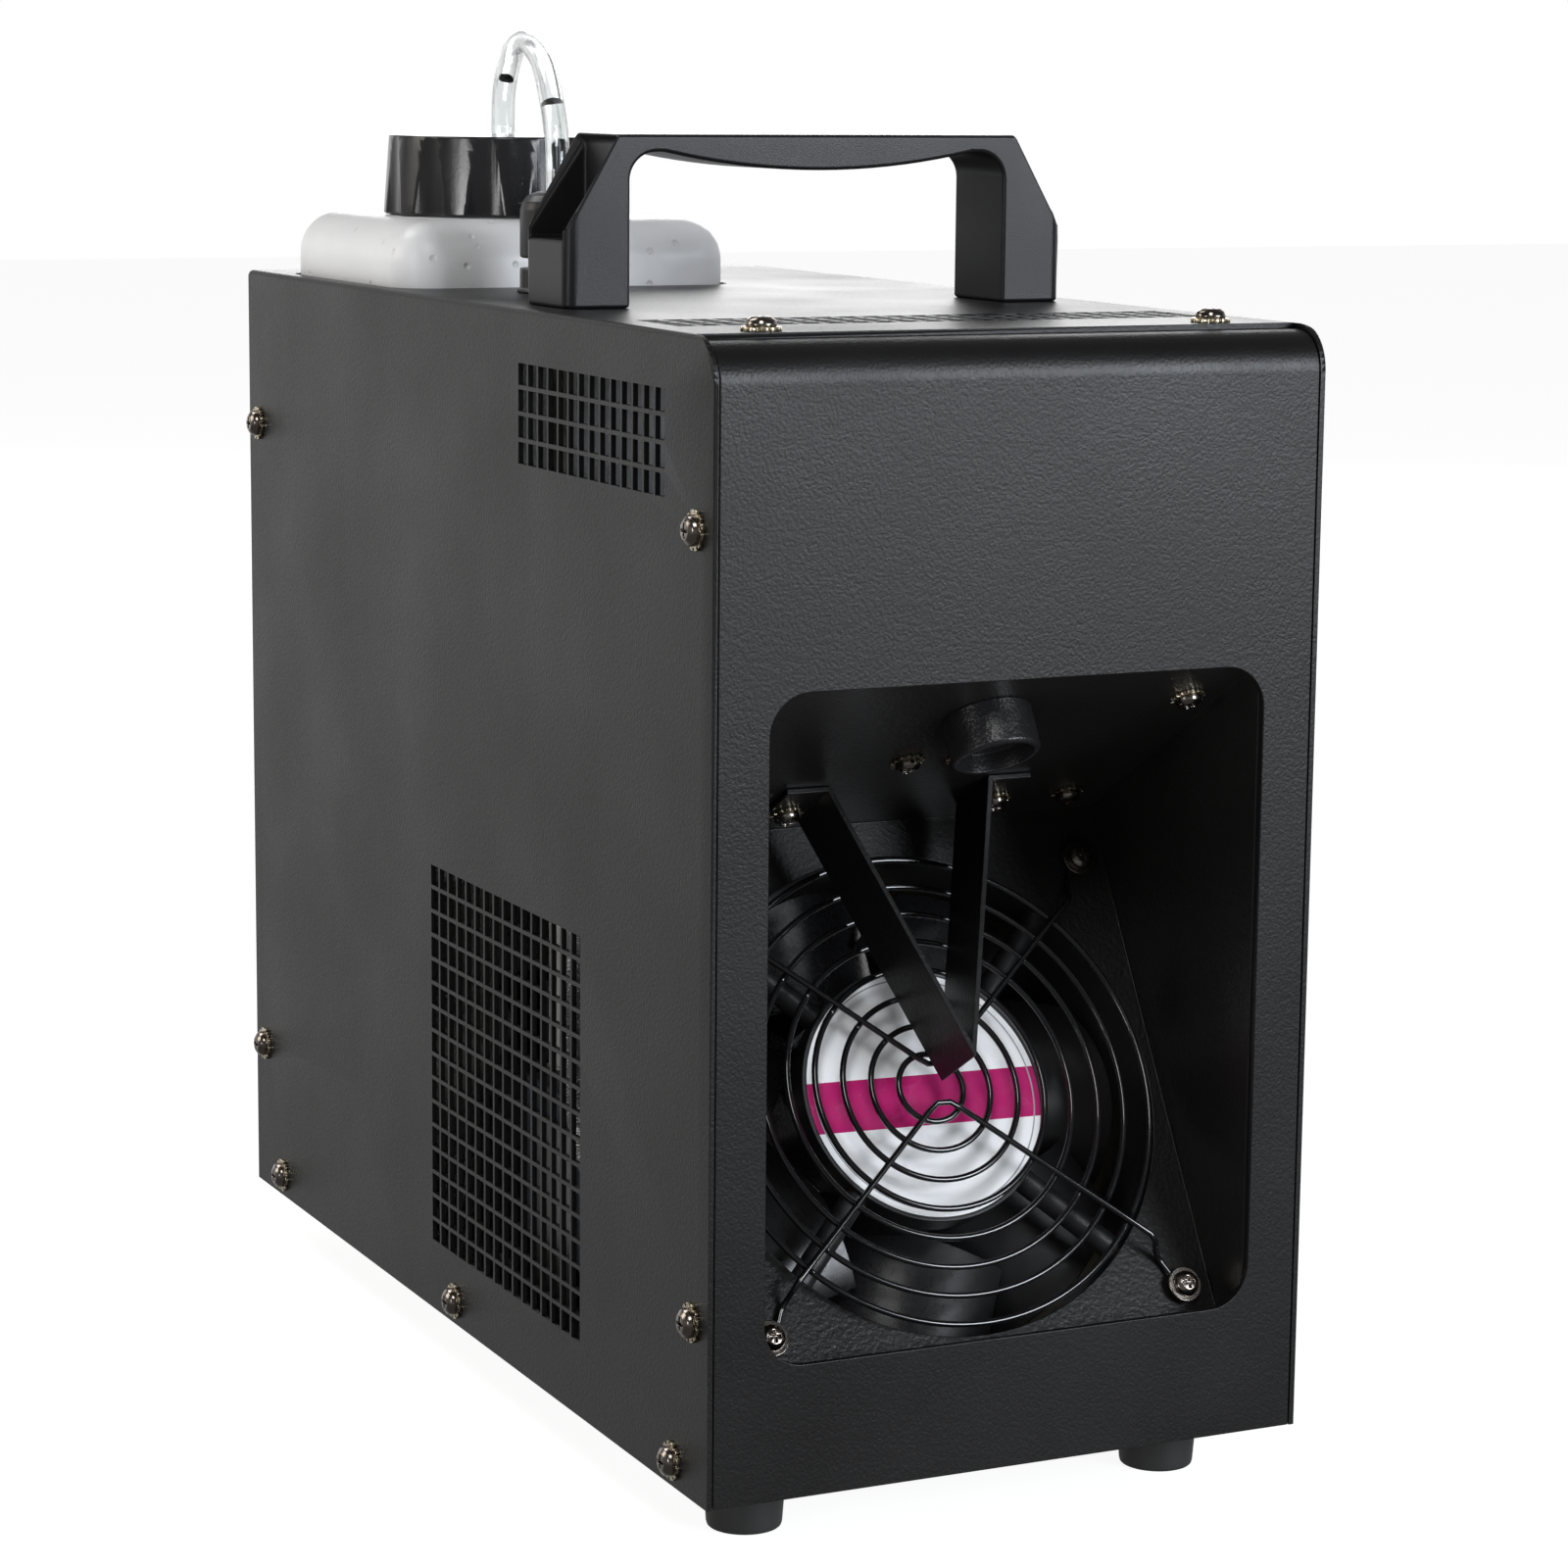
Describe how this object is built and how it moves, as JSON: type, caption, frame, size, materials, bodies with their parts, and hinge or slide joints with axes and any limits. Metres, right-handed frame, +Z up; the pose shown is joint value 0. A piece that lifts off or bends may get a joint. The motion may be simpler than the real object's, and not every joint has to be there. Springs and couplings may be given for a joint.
{
  "type": "fog machine",
  "caption": "Upright fog machine: sheet-metal case with vents, tilted fan and nozzle in a front recess, lift-out fluid tank with screw cap and hose, carrying handle and rear controls.",
  "frame": {"origin": "on the floor under the feet, at the middle of the footprint", "axes": "+Z up, -Y is the front with the nozzle and fan, +X is the machine's left as seen by someone standing behind it, which is the right side seen from the front"},
  "size_m": [0.1544, 0.3076, 0.3295],
  "materials": {
    "case_paint": "fine-textured powder coat, satin",
    "recess_paint": "smooth powder coat, satin",
    "nozzle_coat": "hammered black coating",
    "foot_rubber": "matte",
    "screw_steel": "black nickel, polished",
    "zinc": "yellow-passivated zinc",
    "guard_wire": "gloss black coat",
    "fan_black": "satin black coat on die-cast aluminium",
    "fan_blades": "satin",
    "label_white": "printed film",
    "copper_winding": "enamelled copper",
    "brass_parts": "machined",
    "steel_parts": "machined",
    "cast_aluminium": "as cast",
    "insulation": "woven glass sleeve",
    "ceramic_white": "ceramic",
    "coil_plastic": "moulded",
    "pump_plastic": "moulded",
    "plated_sheet": "zinc plated",
    "clear_hose": "clear PVC",
    "braid_steel": "woven wire",
    "handle_plastic": "fine-grained moulding",
    "tank_hdpe": "translucent blow-moulded",
    "cap_plastic": "moulded",
    "seal_foam": "soft",
    "fitting_black": "moulded",
    "board_green": "solder mask",
    "transformer_core": "laminations and tape",
    "component_blue": "sleeved parts",
    "window_dark": "tinted acrylic",
    "button_grey": "moulded",
    "connector_black": "moulded",
    "switch_black": "moulded",
    "wire_red": "insulated wire"
  },
  "bodies": {
    "machine": {"chassis": "case_paint", "cover": "case_paint", "foot_front_left": "foot_rubber", "foot_front_right": "foot_rubber", "foot_rear_left": "foot_rubber", "foot_rear_right": "foot_rubber", "pan_screws": "screw_steel", "toothed_washers": "zinc", "recess_shroud": "recess_paint", "nozzle": "nozzle_coat", "nozzle_tip": "brass_parts", "nozzle_stem": "steel_parts", "nozzle_guard": "recess_paint", "finger_guard": "guard_wire", "guard_washers": "screw_steel", "fan_frame": "fan_black", "fan_label": "label_white", "fan_bearing": "brass_parts", "fan_stator": "copper_winding", "heater_block": "cast_aluminium", "heater_jacket": "insulation", "heater_inlet": "brass_parts", "thermostat": "ceramic_white", "pump_coil": "coil_plastic", "pump_tube": "pump_plastic", "pump_bracket": "plated_sheet", "supply_hose": "clear_hose", "braided_hose": "braid_steel", "handle": "handle_plastic", "fitting_nut": "fitting_black", "fitting_stem": "pump_plastic", "tank_tray": "plated_sheet", "power_board": "board_green", "board_standoffs": "brass_parts", "transformer": "transformer_core", "board_components": "component_blue", "control_board": "board_green", "display_window": "window_dark", "power_inlet": "connector_black", "inlet_pins": "brass_parts", "switch_frame": "connector_black", "dmx_in": "connector_black", "dmx_pins": "brass_parts", "dmx_out": "connector_black", "mains_wires": "wire_red"},
    "rotor": {"fan_rotor": "fan_blades"},
    "tank": {"tank": "tank_hdpe", "feed_hose": "clear_hose", "pickup_filter": "brass_parts"},
    "seal": {"cap_seal": "seal_foam"},
    "cap": {"tank_cap": "cap_plastic"},
    "collar": {"fitting_collar": "fitting_black"},
    "plunger": {"pump_plunger": "steel_parts"},
    "menu_key": {"button_menu": "button_grey"},
    "down_key": {"button_down": "button_grey"},
    "up_key": {"button_up": "button_grey"},
    "enter_key": {"button_enter": "button_grey"},
    "drawer": {"fuse_drawer": "connector_black"},
    "rocker": {"switch_rocker": "switch_black"},
    "latch": {"dmx_latch": "steel_parts"}
  },
  "joints": [
    {"name": "fan_spin", "type": "hinge", "parent": "machine", "child": "rotor", "pos_m": [0, -0.11145, 0.0901], "axis": [0, 0.8599, -0.5105], "continuous": true},
    {"name": "tank_lift", "type": "slide", "parent": "machine", "child": "tank", "axis": [0, 0, 1], "range_m": [0, 0.185]},
    {"name": "seal_rise", "type": "slide", "parent": "tank", "child": "seal", "axis": [0, 0, 1], "range_m": [0, 0.0081]},
    {"name": "cap_turn", "type": "hinge", "parent": "seal", "child": "cap", "pos_m": [-0.0245, 0.08825, 0.292], "axis": [0, 0, 1], "range_deg": [0, 720]},
    {"name": "collar_press", "type": "slide", "parent": "machine", "child": "collar", "axis": [0, 0, -1], "range_m": [0, 0.002], "stiffness_N_per_m": 800},
    {"name": "pump_stroke", "type": "slide", "parent": "machine", "child": "plunger", "axis": [0, 1, 0], "range_m": [-0.0015, 0.0015], "stiffness_N_per_m": 2000},
    {"name": "menu_press", "type": "slide", "parent": "machine", "child": "menu_key", "axis": [0, -1, 0], "range_m": [0, 0.001], "stiffness_N_per_m": 400},
    {"name": "down_press", "type": "slide", "parent": "machine", "child": "down_key", "axis": [0, -1, 0], "range_m": [0, 0.001], "stiffness_N_per_m": 400},
    {"name": "up_press", "type": "slide", "parent": "machine", "child": "up_key", "axis": [0, -1, 0], "range_m": [0, 0.001], "stiffness_N_per_m": 400},
    {"name": "enter_press", "type": "slide", "parent": "machine", "child": "enter_key", "axis": [0, -1, 0], "range_m": [0, 0.001], "stiffness_N_per_m": 400},
    {"name": "fuse_slide", "type": "slide", "parent": "machine", "child": "drawer", "axis": [0, 1, 0], "range_m": [0, 0.018]},
    {"name": "rocker_tilt", "type": "hinge", "parent": "machine", "child": "rocker", "pos_m": [0.012, 0.14895, 0.056], "axis": [1, 0, 0], "range_deg": [-14, 0]},
    {"name": "latch_press", "type": "slide", "parent": "machine", "child": "latch", "axis": [0, -1, 0], "range_m": [0, 0.0015], "stiffness_N_per_m": 600}
  ],
  "couplings": [
    {"joint": "seal_rise", "follows": "cap_turn", "m_per_rad": 0.00063662}
  ]
}
